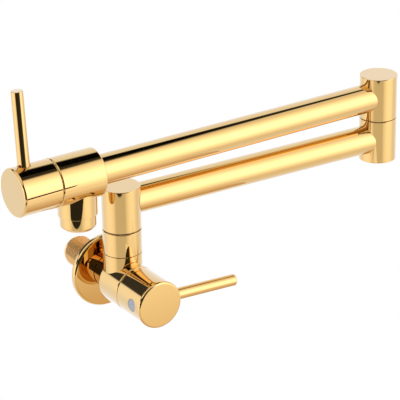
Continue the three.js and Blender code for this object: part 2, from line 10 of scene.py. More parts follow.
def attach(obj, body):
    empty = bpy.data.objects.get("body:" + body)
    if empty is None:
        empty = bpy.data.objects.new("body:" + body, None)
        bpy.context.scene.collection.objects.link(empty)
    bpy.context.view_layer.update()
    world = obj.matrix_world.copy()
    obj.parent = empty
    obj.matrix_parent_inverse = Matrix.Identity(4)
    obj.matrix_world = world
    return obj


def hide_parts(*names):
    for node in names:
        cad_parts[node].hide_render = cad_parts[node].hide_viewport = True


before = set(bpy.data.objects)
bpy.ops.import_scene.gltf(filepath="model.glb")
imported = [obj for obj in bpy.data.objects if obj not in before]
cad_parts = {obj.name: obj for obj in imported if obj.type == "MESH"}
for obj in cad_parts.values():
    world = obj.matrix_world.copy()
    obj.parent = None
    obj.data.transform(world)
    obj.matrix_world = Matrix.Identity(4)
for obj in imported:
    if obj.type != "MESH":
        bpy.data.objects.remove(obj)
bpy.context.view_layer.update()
mm = 0.001
seam = 0.25  # between pieces that are screwed or brazed together
over = 1  # how far a cutting tool runs past what it cuts
softEdge = 0.3  # usual round of a turned corner
weldGap = 2e-6  # metres within which points are one
loopGap = 3e-6  # metres within which an edge lies on the loop that is rounded

# where each group of pieces stands, as in the solid model

layout = {
    "columnOut": 31,
    "lowerArmHeight": 70.5,
    "armPitch": 38,
    "armLength": 254.5,
    "outletReach": 301.7,
    "spoutMouth": 324.1,
    "wallMouth": 52.3,
    "lowerArmLean": 2.1,
    "upperArmLean": 2.55,
    "wallLeverDroop": 2.9,
    "spoutLeverLean": 4.5,
}


def shift(x, y, z):
    return Matrix.Translation(Vector((x, y, z)) * mm)


def turned(axis, angle):
    return Matrix.Rotation(radians(angle), 4, axis)


wallFitting = turned("X", 90)  # +Z out of the wall
column = shift(0, -layout["columnOut"], 0)
lowerArm = shift(0, -layout["columnOut"], layout["lowerArmHeight"]) @ turned("Z", -layout["lowerArmLean"])
foldedBack = turned("Z", 180 + layout["upperArmLean"])
upperArm = lowerArm @ shift(layout["armLength"], 0, layout["armPitch"]) @ foldedBack
wallValve = shift(0, -layout["wallMouth"], 0) @ turned("X", 90)
mouthAlongArm = Matrix(((0, 0, 1, 0), (-1, 0, 0, 0), (0, -1, 0, 0), (0, 0, 0, 1)))
spoutValve = upperArm @ shift(layout["spoutMouth"], 0, 0) @ mouthAlongArm
wallHandle = wallValve @ turned("Z", -layout["wallLeverDroop"])
spoutHandle = spoutValve @ turned("Z", layout["spoutLeverLean"] - 90)
outletFrame = upperArm @ shift(layout["outletReach"], 0, 0) @ turned("X", 180)  # +Z down the flow


# modelling steps

def deselectAll():
    if bpy.context.object and bpy.context.object.mode != "OBJECT":
        bpy.ops.object.mode_set(mode="OBJECT")
    bpy.ops.object.select_all(action="DESELECT")


def pick(piece):
    deselectAll()
    piece.select_set(True)
    bpy.context.view_layer.objects.active = piece


def bevelRing(piece, radius, height, amount, segments):
    # rounds the edge loop that lies at this radius and height
    bpy.ops.mesh.select_all(action="DESELECT")
    bpy.ops.mesh.select_mode(type="EDGE")
    work = bmesh.from_edit_mesh(piece.data)
    for edge in work.edges:
        edge.select = all(
            abs(v.co.xy.length - radius * mm) < loopGap and abs(v.co.z - height * mm) < loopGap
            for v in edge.verts
        )
    bmesh.update_edit_mesh(piece.data)
    bpy.ops.mesh.bevel(offset=amount * mm, segments=segments, affect="EDGES")


def latheTurn(name, outline, sides=144, ring=False, segments=4):
    # draws a ring out along Z through rows of radius, height and, where given, the corner's round
    deselectAll()
    bpy.ops.mesh.primitive_circle_add(vertices=sides, radius=outline[0][0] * mm, enter_editmode=True)
    piece = bpy.context.object
    piece.name = name
    radius, height = outline[0][0], outline[0][1]
    bpy.ops.transform.translate(value=(0, 0, height * mm))
    for row in outline[1:] + (outline[:1] if ring else []):
        bpy.ops.mesh.extrude_edges_move(TRANSFORM_OT_translate={"value": (0, 0, (row[1] - height) * mm)})
        wider = row[0] / radius
        bpy.ops.transform.resize(value=(wider, wider, 1), center_override=(0, 0, row[1] * mm))
        radius, height = row[0], row[1]
    bpy.ops.mesh.select_all(action="SELECT")
    bpy.ops.mesh.remove_doubles(threshold=weldGap)
    if not ring:
        bpy.ops.mesh.fill_holes(sides=0)
    bpy.ops.mesh.normals_make_consistent(inside=False)
    for row in outline:
        if len(row) > 2:
            bevelRing(piece, row[0], row[1], row[2], row[3] if len(row) > 3 else segments)
    bpy.ops.object.mode_set(mode="OBJECT")
    return piece


def moveMesh(piece, place):
    # puts the place into the mesh, so that the object stays at the origin
    pick(piece)
    piece.matrix_world = place @ piece.matrix_world
    bpy.ops.object.transform_apply(location=True, rotation=True, scale=True)
    return piece


def barAlong(axis, radius, start, end, place=(0, 0, 0), sides=96):
    piece = latheTurn("bar", [(radius, start), (radius, end)], sides)
    if axis == "X":
        moveMesh(piece, turned("Y", 90))
    if axis == "Y":
        moveMesh(piece, turned("X", -90))
    return moveMesh(piece, shift(*place))


def joinShape(piece, tool, how="UNION"):
    pick(piece)
    bpy.ops.object.modifier_add(type="BOOLEAN")
    step = piece.modifiers[-1]
    step.operation = how
    step.solver = "EXACT"
    step.object = tool
    bpy.ops.object.modifier_apply(modifier=step.name)
    bpy.data.objects.remove(tool)
    return piece


def cut(piece, *tools):
    for tool in tools:
        joinShape(piece, tool, "DIFFERENCE")


roundFit = {"distance": 0.02, "facing": 0.999}  # what counts as a face of a given round


def polishShading(piece, rounds=(), angle=27):
    # smooth shading with flat faces kept flat, then the exact normals of each (point, axis, radius) round
    pick(piece)
    bpy.ops.object.shade_smooth_by_angle(angle=radians(angle))
    bpy.ops.object.modifier_add(type="WEIGHTED_NORMAL")
    step = piece.modifiers[-1]
    step.keep_sharp = True
    step.weight = 100
    bpy.ops.object.modifier_apply(modifier=step.name)
    if not rounds:
        return
    mesh = piece.data
    normals = [corner.vector.copy() for corner in mesh.corner_normals]
    for point, axis, radius in rounds:
        base, along = Vector(point) * mm, Vector(axis).normalized()

        def outward(spot):
            arm = spot - base
            return arm - along * arm.dot(along)

        for face in mesh.polygons:
            out = outward(face.center)
            near = abs(out.length - radius * mm) < roundFit["distance"] * mm
            if near and abs(out.normalized().dot(face.normal)) > roundFit["facing"]:
                side = 1 if out.dot(face.normal) > 0 else -1
                for corner in face.loop_indices:
                    spot = outward(mesh.vertices[mesh.loops[corner].vertex_index].co)
                    normals[corner] = spot.normalized() * side
    mesh.normals_split_custom_set(normals)


def dress(piece, node, body, material, slot):
    piece.data.materials.clear()
    piece.data.materials.append(material)
    piece.name = node + "_polished" if slot == "gold" else node + "_fine"
    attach(piece, body)
    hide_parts(node)


# materials

def addNode(tree, kind, **values):
    node = tree.nodes.new(kind)
    for key, value in values.items():
        setattr(node, key, value)
    return node


wearPattern = {
    "cloudDetail": 3,
    "scratchStretch": (1, 1, 14),
    "scratchSlant": (0.4, 0.3, 0.2),
    "scratchDetail": 6,
    "scratchRoughness": 0.65,
    "scratchFrom": 0.58,
    "scratchTo": 0.72,
    "grainDetail": 2,
}


def buildWearGroup():
    # soft cloudiness, hairline scratches and a fine grain, each from 0 to 1
    group = bpy.data.node_groups.new("surfaceWear", "ShaderNodeTree")
    face = group.interface
    for name, value in (("Cloud Scale", 30.0), ("Scratch Scale", 60.0), ("Grain Scale", 900.0)):
        face.new_socket(name, in_out="INPUT", socket_type="NodeSocketFloat").default_value = value
    face.new_socket("Vector", in_out="INPUT", socket_type="NodeSocketVector")
    for name in ("Cloud", "Scratch", "Grain"):
        face.new_socket(name, in_out="OUTPUT", socket_type="NodeSocketFloat")
    start = addNode(group, "NodeGroupInput")
    end = addNode(group, "NodeGroupOutput")
    cloud = addNode(group, "ShaderNodeTexNoise")
    cloud.inputs["Detail"].default_value = wearPattern["cloudDetail"]
    squash = addNode(group, "ShaderNodeMapping", vector_type="POINT")
    squash.inputs["Scale"].default_value = wearPattern["scratchStretch"]
    squash.inputs["Rotation"].default_value = wearPattern["scratchSlant"]
    scratch = addNode(group, "ShaderNodeTexNoise")
    scratch.inputs["Detail"].default_value = wearPattern["scratchDetail"]
    scratch.inputs["Roughness"].default_value = wearPattern["scratchRoughness"]
    sharpen = addNode(group, "ShaderNodeMapRange")
    sharpen.inputs["From Min"].default_value = wearPattern["scratchFrom"]
    sharpen.inputs["From Max"].default_value = wearPattern["scratchTo"]
    grain = addNode(group, "ShaderNodeTexNoise")
    grain.inputs["Detail"].default_value = wearPattern["grainDetail"]
    link = group.links.new
    link(start.outputs["Vector"], cloud.inputs["Vector"])
    link(start.outputs["Cloud Scale"], cloud.inputs["Scale"])
    link(start.outputs["Vector"], squash.inputs["Vector"])
    link(squash.outputs["Vector"], scratch.inputs["Vector"])
    link(start.outputs["Scratch Scale"], scratch.inputs["Scale"])
    link(scratch.outputs["Fac"], sharpen.inputs["Value"])
    link(start.outputs["Vector"], grain.inputs["Vector"])
    link(start.outputs["Grain Scale"], grain.inputs["Scale"])
    link(cloud.outputs["Fac"], end.inputs["Cloud"])
    link(sharpen.outputs["Result"], end.inputs["Scratch"])
    link(grain.outputs["Fac"], end.inputs["Grain"])
    return group


wearGroup = buildWearGroup()


def surfaceMaterial(name, look):
    # colour and roughness drift with the clouds and scratches, the grain lifts the surface a little
    material = bpy.data.materials.new(name)
    material.use_nodes = True
    tree = material.node_tree
    shader = tree.nodes["Principled BSDF"]
    for socket, value in look["sockets"].items():
        shader.inputs[socket].default_value = value
    place = addNode(tree, "ShaderNodeTexCoord")
    wear = addNode(tree, "ShaderNodeGroup", node_tree=wearGroup)
    for socket, value in look["scales"].items():
        wear.inputs[socket].default_value = value
    colour = addNode(tree, "ShaderNodeMix", data_type="RGBA")
    colour.inputs["A"].default_value = (*look["colour"], 1)
    colour.inputs["B"].default_value = (*look["drift"], 1)
    rough = addNode(tree, "ShaderNodeMapRange")
    rough.inputs["To Min"].default_value, rough.inputs["To Max"].default_value = look["roughness"]
    rub = addNode(tree, "ShaderNodeMath", operation="MULTIPLY_ADD", use_clamp=True)
    rub.inputs[1].default_value = look["scratchShare"]
    bump = addNode(tree, "ShaderNodeBump")
    bump.inputs["Strength"].default_value = look["bump"]
    bump.inputs["Distance"].default_value = look["bumpDepth"] * mm
    link = tree.links.new
    link(place.outputs["Object"], wear.inputs["Vector"])
    link(wear.outputs["Cloud"], colour.inputs["Factor"])
    link(colour.outputs["Result"], shader.inputs["Base Color"])
    link(wear.outputs["Scratch"], rub.inputs[0])
    link(wear.outputs["Cloud"], rub.inputs[2])
    link(rub.outputs["Value"], rough.inputs["Value"])
    link(rough.outputs["Result"], shader.inputs["Roughness"])
    link(wear.outputs["Grain"], bump.inputs["Height"])
    link(bump.outputs["Normal"], shader.inputs["Normal"])
    return material


goldLook = {
    "colour": (0.745, 0.465, 0.14),
    "drift": (0.72, 0.445, 0.13),
    "roughness": (0.022, 0.05),
    "scratchShare": 0.35,
    "bump": 0.02,
    "bumpDepth": 0.02,
    "scales": {"Cloud Scale": 24, "Scratch Scale": 70, "Grain Scale": 60},
    "sockets": {"Metallic": 1, "Coat Weight": 1, "Coat IOR": 1.5, "Coat Roughness": 0.02},
}
# what the cut thread behind the wall's face has in place of the polish: socket, polished, cut
threadFinish = (("Metallic", 1, 0.6), ("Roughness", 0.035, 0.2), ("Coat Weight", 1, 0))
# the nipple's gold is paler than the polished gold: a painted sheen that lightens the whole nipple in place
# of the light it reflects
threadLook = dict(goldLook, colour=(0.93, 0.57, 0.22), drift=(0.86, 0.50, 0.18))
brassLook = {
    "colour": (0.56, 0.39, 0.14),
    "drift": (0.47, 0.31, 0.10),
    "roughness": (0.24, 0.42),
    "scratchShare": 0.6,
    "bump": 0.25,
    "bumpDepth": 0.03,
    "scales": {"Cloud Scale": 60, "Scratch Scale": 160, "Grain Scale": 1400},
    "sockets": {"Metallic": 1},
}
steelLook = {
    "colour": (0.50, 0.51, 0.52),
    "drift": (0.42, 0.43, 0.45),
    "roughness": (0.22, 0.38),
    "scratchShare": 0.5,
    "bump": 0.2,
    "bumpDepth": 0.02,
    "scales": {"Cloud Scale": 90, "Scratch Scale": 220, "Grain Scale": 1600},
    "sockets": {"Metallic": 1},
}
ceramicLook = {
    "colour": (0.86, 0.85, 0.81),
    "drift": (0.80, 0.79, 0.75),
    "roughness": (0.14, 0.26),
    "scratchShare": 0.2,
    "bump": 0.08,
    "bumpDepth": 0.02,
    "scales": {"Cloud Scale": 80, "Scratch Scale": 200, "Grain Scale": 2500},
    "sockets": {},
}
rubberLook = {
    "colour": (0.014, 0.014, 0.014),
    "drift": (0.03, 0.029, 0.028),
    "roughness": (0.55, 0.82),
    "scratchShare": 0.3,
    "bump": 0.5,
    "bumpDepth": 0.05,
    "scales": {"Cloud Scale": 70, "Scratch Scale": 150, "Grain Scale": 1800},
    "sockets": {},
}
acetalLook = {
    "colour": (0.79, 0.77, 0.71),
    "drift": (0.74, 0.72, 0.66),
    "roughness": (0.38, 0.52),
    "scratchShare": 0.3,
    "bump": 0.2,
    "bumpDepth": 0.03,
    "scales": {"Cloud Scale": 90, "Scratch Scale": 200, "Grain Scale": 1500},
    "sockets": {},
}
greyLook = {
    "colour": (0.32, 0.335, 0.36),
    "drift": (0.28, 0.295, 0.32),
    "roughness": (0.34, 0.5),
    "scratchShare": 0.3,
    "bump": 0.25,
    "bumpDepth": 0.03,
    "scales": {"Cloud Scale": 110, "Scratch Scale": 240, "Grain Scale": 1900},
    "sockets": {},
}
plugLook = {
    "colour": (0.37, 0.385, 0.43),
    "drift": (0.33, 0.345, 0.40),
    "roughness": (0.3, 0.42),
    "scratchShare": 0.3,
    "bump": 0.2,
    "bumpDepth": 0.03,
    "scales": {"Cloud Scale": 140, "Scratch Scale": 300, "Grain Scale": 2400},
    "sockets": {},
}
gold = surfaceMaterial("polishedGold", goldLook)


def makeThreadGold():
    # polished in front of the wall's face, duller on the thread behind it, and paler all over: a painted
    # sheen
    material = surfaceMaterial("threadGold", threadLook)
    tree = material.node_tree
    shader = tree.nodes["Principled BSDF"]
    place = addNode(tree, "ShaderNodeTexCoord")
    split = addNode(tree, "ShaderNodeSeparateXYZ")
    behind = addNode(tree, "ShaderNodeMath", operation="GREATER_THAN")
    behind.inputs[1].default_value = 0
    tree.links.new(place.outputs["Object"], split.inputs["Vector"])
    tree.links.new(split.outputs["Y"], behind.inputs[0])
    for socket, polished, threaded in threadFinish:
        choice = addNode(tree, "ShaderNodeMix", data_type="FLOAT")
        choice.inputs["A"].default_value = polished
        choice.inputs["B"].default_value = threaded
        tree.links.new(behind.outputs["Value"], choice.inputs["Factor"])
        tree.links.new(choice.outputs["Result"], shader.inputs[socket])
    return material


threadGold = makeThreadGold()
brass = surfaceMaterial("turnedBrass", brassLook)
steel = surfaceMaterial("screwSteel", steelLook)
ceramic = surfaceMaterial("lappedCeramic", ceramicLook)
rubber = surfaceMaterial("sealRubber", rubberLook)
acetal = surfaceMaterial("slipAcetal", acetalLook)
greyPlastic = surfaceMaterial("aeratorPlastic", greyLook)
plugBlue = surfaceMaterial("indexBlue", plugLook)
slotMaterials = {
    "gold": gold,
    "brass": brass,
    "steel": steel,
    "ceramic": ceramic,
    "rubber": rubber,
    "acetal": acetal,
    "grey_plastic": greyPlastic,
    "plug": plugBlue,
}
print("materials ready")

# wall fitting: flange, gasket and threaded inlet nipple

flange = {
    "radius": 31.8,
    "depth": 6,
    "sheet": 1.4,
    "rim": 2.4,
    "hole": 13.5,
    "seat": 15,
    "sleeve": 2.4,
}


def makeFlange():
    back = gasket["thick"] + seam
    under = flange["depth"] - flange["sheet"]
    outer = flange["radius"]
    outline = [
        (outer - flange["sheet"], back),
        (outer, back, softEdge, 2),
        (outer, flange["depth"], flange["rim"], 10),
        (flange["hole"], flange["depth"], softEdge, 3),
        (flange["hole"], under),
        (flange["seat"], under),
        (flange["seat"], under - flange["sleeve"]),
        (flange["seat"] + flange["sheet"], under - flange["sleeve"]),
        (flange["seat"] + flange["sheet"], under),
        (outer - flange["sheet"], under, 0.6, 4),
    ]
    piece = latheTurn("flange", outline, 192, ring=True)
    polishShading(piece)
    dress(moveMesh(piece, wallFitting), "wall_flange", "wall_base", gold, "gold")


gasket = {"inner": 22, "outer": 31, "thick": 1, "edge": 0.25}


def makeGasket():
    piece = latheTurn("gasket", [
        (gasket["inner"], 0, gasket["edge"], 2),
        (gasket["outer"], 0, gasket["edge"], 2),
        (gasket["outer"], gasket["thick"], gasket["edge"], 2),
        (gasket["inner"], gasket["thick"], gasket["edge"], 2),
    ], 144, ring=True)
    polishShading(piece)
    dress(moveMesh(piece, wallFitting), "flange_gasket", "wall_base", rubber, "rubber")


nipple = {
    "radius": 13.2,
    "bore": 7.5,
    "behind": 44,
    "shoulder": 21.35,
    "rootRadius": 10.5,
    "root": 2.6,
    "threadPitch": 1.814,
    "threadDepth": 0.85,
    "threadFrom": -41.5,
    "threadTurns": 21,
    "threadRunOut": 0.6,
    "threadCone": 0.7,
    "toothFoot": 0.55,  # half its width as a share of the pitch
    "toothCrest": 0.09,
    "toothSunk": 0.3,
}


def makeNipple():
    core = nipple["radius"] - nipple["threadDepth"]
    high = nipple["threadFrom"] + nipple["threadPitch"] * nipple["threadTurns"] + nipple["threadRunOut"]
    body = latheTurn("nipple", [
        (nipple["bore"], -nipple["behind"], 0.4, 3),
        (core, -nipple["behind"], 0.5, 3),
        (core, high, 0.2, 2),
        (nipple["radius"], high + nipple["threadCone"], 0.15, 2),
        (nipple["radius"], nipple["shoulder"], softEdge, 3),
        (nipple["rootRadius"], nipple["shoulder"]),
        (nipple["rootRadius"], nipple["shoulder"] + nipple["root"], softEdge, 3),
        (nipple["bore"], nipple["shoulder"] + nipple["root"], softEdge, 3),
    ], 144, ring=True)
    polishShading(body)
    # one tooth of the thread, wound up the core
    deselectAll()
    pitch, depth = nipple["threadPitch"], nipple["threadDepth"]
    bpy.ops.mesh.primitive_plane_add(size=1, enter_editmode=True)
    tooth = bpy.context.object
    work = bmesh.from_edit_mesh(tooth.data)
    corners = [
        (core - nipple["toothSunk"], -pitch * nipple["toothFoot"]),
        (core + depth, -pitch * nipple["toothCrest"]),
        (core + depth, pitch * nipple["toothCrest"]),
        (core - nipple["toothSunk"], pitch * nipple["toothFoot"]),
    ]
    work.verts.ensure_lookup_table()
    ring = [work.verts[0], work.verts[1], work.verts[3], work.verts[2]]
    for vertex, (radius, height) in zip(ring, corners):
        vertex.co = Vector((radius * mm, 0, (height + nipple["threadFrom"]) * mm))
    bmesh.update_edit_mesh(tooth.data)
    bpy.ops.mesh.select_all(action="SELECT")
    bpy.ops.mesh.delete(type="ONLY_FACE")
    bpy.ops.object.mode_set(mode="OBJECT")
    bpy.ops.object.modifier_add(type="SCREW")
    step = tooth.modifiers[-1]
    step.axis = "Z"
    step.angle = 2 * pi
    step.screw_offset = pitch * mm
    step.iterations = nipple["threadTurns"]
    step.steps = step.render_steps = 48
    step.use_smooth_shade = True
    bpy.ops.object.modifier_apply(modifier=step.name)
    bpy.ops.object.mode_set(mode="EDIT")
    bpy.ops.mesh.select_all(action="SELECT")
    bpy.ops.mesh.remove_doubles(threshold=weldGap)
    bpy.ops.mesh.fill_holes(sides=0)
    bpy.ops.mesh.normals_make_consistent(inside=False)
    bpy.ops.object.mode_set(mode="OBJECT")
    polishShading(tooth, angle=40)
    pick(body)
    tooth.select_set(True)
    bpy.ops.object.join()
    dress(moveMesh(body, wallFitting), "inlet_nipple", "wall_base", threadGold, "gold")


makeFlange()
makeGasket()
makeNipple()
print("wall fitting ready")

# valve bodies: a barrel with its branch, chamber, ports and sockets

valve = {
    "radius": 20,
    "mouthEdge": 1.1,
    "mouthRadius": 14.6,
    "mouthDepth": 6.5,
    "chamberRadius": 12.2,
    "chamberDepth": 16,
    "portRadius": 2.9,
    "portOffset": 5.4,
    "waterwayRadius": 4.2,
    "waterwayStart": 1.5,
    "socketFloor": 15.5,
}
wallBody = {
    "length": 30.7,
    "backEdge": 4,
    "branchBack": 21.3,
    "stubRadius": 16.2,
    "stubEnd": 27.5,
    "stubEdge": 0.3,
    "pivotSocket": 11.2,
    "shankRoom": 13.45,
    "shankSocket": 10.75,
    "shankFloor": -27.25,
}
spoutBody = {
    "length": 39.8,
    "backEdge": 1.2,
    "branchBack": 22.4,
    "stubRadius": 16,
    "stubEnd": 31.5,
    "stubEdge": 0.3,
    "tubeSocket": 12.75,
    "tubeFloor": -31.8,
    "bay": 9,
    "bayFloor": -29.8,
    "outletBore": 9.4,
    "ringSocket": 13.35,
    "ringFloor": 23.2,
}


def makeBarrel(sizes):
    barrel = latheTurn("barrel", [
        (valve["radius"], -sizes["length"], sizes["backEdge"], 10),
        (valve["radius"], 0, valve["mouthEdge"], 4),
    ], 192)
    stub = latheTurn("stub", [
        (sizes["stubRadius"], 0),
        (sizes["stubRadius"], sizes["stubEnd"], sizes["stubEdge"], 3),
    ], 160)
    moveMesh(stub, shift(0, 0, -sizes["branchBack"]) @ turned("X", -90))
    return joinShape(barrel, stub)


def cutChamber(body, inletFloor, branchBack):
    chamber = latheTurn("chamber", [
        (valve["chamberRadius"], -valve["chamberDepth"]),
        (valve["chamberRadius"], -valve["mouthDepth"]),
        (valve["mouthRadius"], -valve["mouthDepth"]),
        (valve["mouthRadius"], over),
    ], 96)
    reach = -valve["chamberDepth"] + over
    offset, port = valve["portOffset"], valve["portRadius"]
    cut(
        body,
        chamber,
        barAlong("Z", port, inletFloor - over, reach, (0, -offset, 0), 48),
        barAlong("Z", port, -branchBack, reach, (0, offset, 0), 48),
        barAlong(
            "Y", valve["waterwayRadius"], valve["waterwayStart"], valve["socketFloor"] + over,
            (0, 0, -branchBack), 48,
        ),
    )


def makeWallBody():
    w = wallBody
    back = (0, 0, -w["branchBack"])
    body = makeBarrel(w)
    cut(body, barAlong("Z", w["shankRoom"], -2 * w["length"], -w["length"], sides=144))
    cutChamber(body, w["shankFloor"], w["branchBack"])
    cut(
        body,
        barAlong("Y", w["pivotSocket"], valve["socketFloor"], w["stubEnd"] + over, back),
        barAlong("Z", w["shankSocket"], -w["length"] - over, w["shankFloor"]),
    )
    polishShading(body, [
        ((0, 0, 0), (0, 0, 1), valve["radius"]),
        (back, (0, 1, 0), w["stubRadius"]),
        (back, (0, 1, 0), w["pivotSocket"]),
        ((0, 0, 0), (0, 0, 1), w["shankRoom"]),
    ])
    dress(moveMesh(body, wallValve), "wall_valve_body", "wall_base", gold, "gold")


def makeSpoutBody():
    s = spoutBody
    back = (0, 0, -s["branchBack"])
    body = makeBarrel(s)
    cutChamber(body, s["bayFloor"], s["branchBack"])
    cut(
        body,
        barAlong("Z", s["tubeSocket"], -s["length"] - over, s["tubeFloor"], sides=144),
        barAlong("Z", s["bay"], s["tubeFloor"] - over, s["bayFloor"]),
        barAlong("Y", s["outletBore"], valve["socketFloor"], s["stubEnd"], back),
        barAlong("Y", s["ringSocket"], s["ringFloor"], s["stubEnd"] + over, back, 144),
    )
    polishShading(body, [
        ((0, 0, 0), (0, 0, 1), valve["radius"]),
        (back, (0, 1, 0), s["stubRadius"]),
        (back, (0, 1, 0), s["ringSocket"]),
        ((0, 0, 0), (0, 0, 1), s["tubeSocket"]),
    ])
    dress(moveMesh(body, spoutValve), "spout_valve_body", "upper_arm", gold, "gold")


makeWallBody()
makeSpoutBody()
print("valve bodies ready")

# handles: cap, thin lever and the plug over the grub screw

cap = {
    "length": 34.5,
    "edge": 1.9,
    "foot": 0.9,
    "bore": 16.6,
    "face": 4,
    "boss": 8.6,
    "bossStart": 8.5,
    "stemBore": 4.25,
    "stemRoom": 27.5,
    "holeAt": 22.6,
    "holeRadius": 5.25,
    "holeRim": 0.55,
    "holeFlare": 2.1,
    "studHole": 3.25,
    "grubHole": 2.65,
}
lever = {"radius": 5, "reach": 80, "stud": 3, "studEnd": 5.5, "shoulder": 8.85}
leverTips = {"wall": 1.6, "spout": 0.5}
plug = {
    "radius": 5,
    "thick": 2.6,
    "edge": 0.35,
    "edgeAngle": 50,
    "sunk": 0.1,
    "sideReach": 12,
}


def makeCap(prefix, place, body):
    piece = latheTurn("cap", [
        (cap["stemBore"], cap["stemRoom"]),
        (cap["stemBore"], cap["bossStart"], softEdge, 2),
        (cap["boss"], cap["bossStart"], softEdge, 2),
        (cap["boss"], cap["length"] - cap["face"]),
        (cap["bore"], cap["length"] - cap["face"], 0.8, 3),
        (cap["bore"], seam, 0.2, 2),
        (valve["radius"], seam, cap["foot"], 4),
        (valve["radius"], cap["length"], cap["edge"], 8),
    ], 192)
    rim, top = cap["holeRadius"] + cap["holeRim"], valve["radius"]
    leverHole = latheTurn("leverHole", [
        (cap["holeRadius"], cap["bore"] - over),
        (cap["holeRadius"], top - cap["holeFlare"] * cap["holeRim"]),
        (rim, top - cap["holeRim"]),
        (rim, top + over),
    ], 96)
    moveMesh(leverHole, shift(0, 0, cap["holeAt"]) @ turned("Y", 90))
    at = (0, 0, cap["holeAt"])
    cut(
        piece,
        leverHole,
        barAlong("X", cap["holeRadius"], -top - over, -cap["bore"] + over, at, 96),
        barAlong("X", cap["studHole"], cap["stemBore"] + over, cap["boss"] + over, at, 64),
        barAlong("X", cap["grubHole"], -cap["boss"] - over, 0, at, 64),
    )
    polishShading(piece, [((0, 0, 0), (0, 0, 1), valve["radius"]), (at, (1, 0, 0), cap["holeRadius"])])
    dress(moveMesh(piece, place), prefix + "_handle_cap", body, gold, "gold")


def makeLever(prefix, place, body):
    piece = latheTurn("lever", [
        (lever["stud"], lever["studEnd"], softEdge, 2),
        (lever["stud"], lever["shoulder"]),
        (lever["radius"], lever["shoulder"], softEdge, 2),
        (lever["radius"], lever["reach"], leverTips[prefix], 6),
    ], 96)
    polishShading(piece)
    place = place @ shift(0, 0, cap["holeAt"]) @ turned("Y", 90)
    dress(moveMesh(piece, place), prefix + "_lever", body, gold, "gold")


def makePlug(prefix, place, body):
    top = valve["radius"]
    piece = barAlong("X", plug["radius"], -top - over, plug["thick"] - top, (0, 0, cap["holeAt"]), 96)
    side = latheTurn("side", [
        (top - plug["sunk"], cap["holeAt"] - plug["sideReach"]),
        (top - plug["sunk"], cap["holeAt"] + plug["sideReach"]),
    ], 192)
    joinShape(piece, side, "INTERSECT")
    pick(piece)
    bpy.ops.object.modifier_add(type="BEVEL")
    step = piece.modifiers[-1]
    step.width = plug["edge"] * mm
    step.segments = 3
    step.limit_method = "ANGLE"
    step.angle_limit = radians(plug["edgeAngle"])
    bpy.ops.object.modifier_apply(modifier=step.name)
    polishShading(piece)
    dress(moveMesh(piece, place), prefix + "_index_plug", body, plugBlue, "plug")


for prefix, place, body in (("wall", wallHandle, "wall_handle"), ("spout", spoutHandle, "spout_handle")):
    makeCap(prefix, place, body)
    makeLever(prefix, place, body)
    makePlug(prefix, place, body)
print("handles ready")

# column, arm hubs, tubes and their retaining screws

hub = {
    "radius": 16.2,
    "edge": 0.5,
    "bore": 11.2,
    "endWall": 5,
    "spigot": 10.65,
    "spigotEnd": 24.2,
    "water": 7.6,
    "recess": 14.6,
    "recessDepth": 0.6,
    "screwHole": 2.05,
    "screwFrom": 9.3,
    "screwUp": 4.1,
}
collar = {"bottom": 27.75, "top": 47.7}
hubs = {
    "shoulder": {"node": "lower_arm_hub", "bottom": -21.7, "top": 14.5, "gap": 1.1, "screwSide": 1},
    "elbowUpper": {"node": "elbow_upper_hub", "bottom": -18.75, "top": 19, "gap": 0.5, "screwSide": -1},
    "elbowLower": {"node": "elbow_lower_hub", "bottom": -19, "top": 18.75},
}
tube = {"radius": 12.5, "bore": 11, "fit": 0.1, "upperEnd": 292.05, "notch": 30}
screw = {"radius": 1.8, "point": 1, "from": 9.6, "shoulder": 11.45, "end": 15.8, "socket": 0.99}


def makeCollar():
    piece = latheTurn("collar", [
        (hub["bore"], collar["bottom"], softEdge, 2),
        (hub["radius"], collar["bottom"], hub["edge"], 4),
        (hub["radius"], collar["top"], hub["edge"], 4),
        (hub["bore"], collar["top"], softEdge, 2),
    ], 160, ring=True)
    polishShading(piece)
    dress(moveMesh(piece, column), "shoulder_collar", "wall_base", gold, "gold")


def makeHub(kind, place, body):
    h = hubs[kind]
    piece = latheTurn("hub", [
        (hub["radius"], h["bottom"], hub["edge"], 4),
        (hub["radius"], h["top"], hub["edge"], 4),
    ], 160)
    joinShape(piece, barAlong("X", hub["spigot"], 0, hub["spigotEnd"]))
    if kind == "elbowLower":
        bore = barAlong("Z", hub["bore"], h["bottom"] + hub["endWall"], h["top"] + over)
    else:
        bore = barAlong("Z", hub["bore"], h["bottom"] - over, h["top"] - hub["endWall"])
    cut(piece, bore, barAlong("X", hub["water"], 0, hub["spigotEnd"] + over))
    if kind != "elbowLower":
        screwAt = shift(0, 0, h["bottom"] - h["gap"] + hub["screwUp"]) @ turned("X", -90 * h["screwSide"])
        cut(
            piece,
            barAlong("Z", hub["recess"], h["bottom"] - over, h["bottom"] + hub["recessDepth"]),
            moveMesh(
                barAlong("Z", hub["screwHole"], hub["screwFrom"], hub["radius"] + over, sides=48),
                screwAt,
            ),
        )
    polishShading(piece, [((0, 0, 0), (0, 0, 1), hub["radius"]), ((0, 0, 0), (0, 0, 1), hub["bore"])])
    dress(moveMesh(piece, place), h["node"], body, gold, "gold")


def makeTube(node, end, hubsAt, place, body):
    piece = barAlong("X", tube["radius"], 0, end, sides=160)
    cut(piece, barAlong("X", tube["bore"], -over, end + over, sides=96))
    for x in hubsAt:
        cut(piece, barAlong("Z", hub["radius"] + tube["fit"], -tube["notch"], tube["notch"], (x, 0, 0), 160))
    polishShading(piece, [((0, 0, 0), (1, 0, 0), tube["radius"]), ((0, 0, 0), (1, 0, 0), tube["bore"])])
    dress(moveMesh(piece, place), node, body, gold, "gold")


